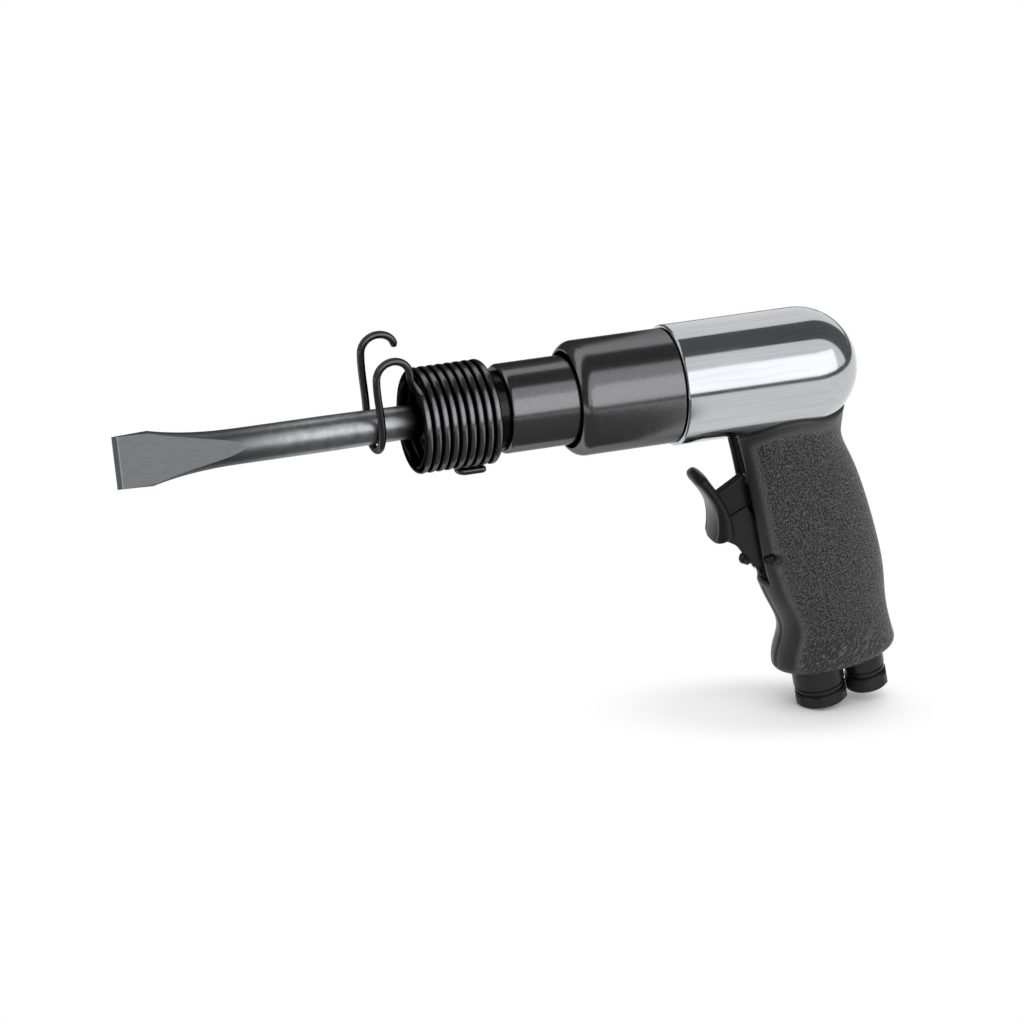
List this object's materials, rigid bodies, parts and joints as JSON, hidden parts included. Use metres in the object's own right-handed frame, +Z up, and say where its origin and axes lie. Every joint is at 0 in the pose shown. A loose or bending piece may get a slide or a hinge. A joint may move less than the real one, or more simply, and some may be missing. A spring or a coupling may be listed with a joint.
{
  "type": "pneumatic chipping hammer",
  "caption": "Pistol-grip pneumatic chipping hammer with a polished round head, black barrel, wire coil retainer with finger hooks, flat chisel and hexagon air fittings.",
  "frame": {"origin": "on the barrel's axis, at the front face of the polished head, where a clamp round the barrel sleeve stops", "axes": "-X along the barrel towards the chisel's edge, +Z up, away from the grip, +Y to the user's right"},
  "size_m": [0.3259, 0.048, 0.1841],
  "materials": {
    "polished_alloy": "polished",
    "grip_rubber": "grained matt",
    "black_steel": "black oxide, satin",
    "spring_wire": "oiled black",
    "chisel_steel": "dark forged with ground faces",
    "trigger_paint": "satin black paint on a casting",
    "bright_steel": "ground",
    "seal_rubber": "smooth",
    "sintered_bronze": "sintered"
  },
  "bodies": {
    "hammer": {"handle_casting": "polished_alloy", "grip_cover": "grip_rubber", "barrel": "black_steel", "barrel_seal": "seal_rubber", "barrel_sleeve": "black_steel", "chisel_bushing": "bright_steel", "valve_case": "bright_steel", "valve_cap": "bright_steel", "valve_pins": "bright_steel", "retainer_spring": "spring_wire", "trigger_pin": "black_steel", "throttle_bushing": "bright_steel", "throttle_spring": "bright_steel", "regulator_seal": "seal_rubber", "inlet_bushing": "black_steel", "exhaust_bushing": "black_steel", "inlet_washer": "seal_rubber", "exhaust_washer": "seal_rubber", "inlet_strainer": "sintered_bronze", "exhaust_silencer": "sintered_bronze"},
    "lever": {"trigger": "trigger_paint"},
    "throttle": {"throttle_valve": "bright_steel", "throttle_seal": "seal_rubber"},
    "striker": {"piston": "bright_steel"},
    "shuttle": {"cycle_valve": "bright_steel"},
    "tool": {"chisel": "chisel_steel"},
    "regulator": {"regulator_screw": "black_steel"}
  },
  "joints": [
    {"name": "trigger_pull", "type": "hinge", "parent": "hammer", "child": "lever", "pos_m": [0.04298, 0, -0.07771], "axis": [0, 1, 0], "range_deg": [0, 7]},
    {"name": "throttle_slide", "type": "slide", "parent": "hammer", "child": "throttle", "axis": [0.9816, 0, 0.1908], "range_m": [0, 0.00415], "stiffness_N_per_m": 50, "springref_m": -0.004, "deforming": ["throttle_spring"]},
    {"name": "piston_stroke", "type": "slide", "parent": "hammer", "child": "striker", "axis": [-1, 0, 0], "range_m": [0, 0.041]},
    {"name": "valve_shuttle", "type": "slide", "parent": "hammer", "child": "shuttle", "axis": [1, 0, 0], "range_m": [0, 0.001]},
    {"name": "chisel_travel", "type": "slide", "parent": "hammer", "child": "tool", "axis": [-1, 0, 0], "range_m": [0, 0.012]},
    {"name": "regulator_turn", "type": "hinge", "parent": "hammer", "child": "regulator", "pos_m": [0.03333, 0, -0.07887], "axis": [0.9135, 0, -0.4067], "range_deg": [0, 270]}
  ],
  "couplings": [
    {"joint": "trigger_pull", "follows": "throttle_slide", "rad_per_m": 29.412}
  ]
}
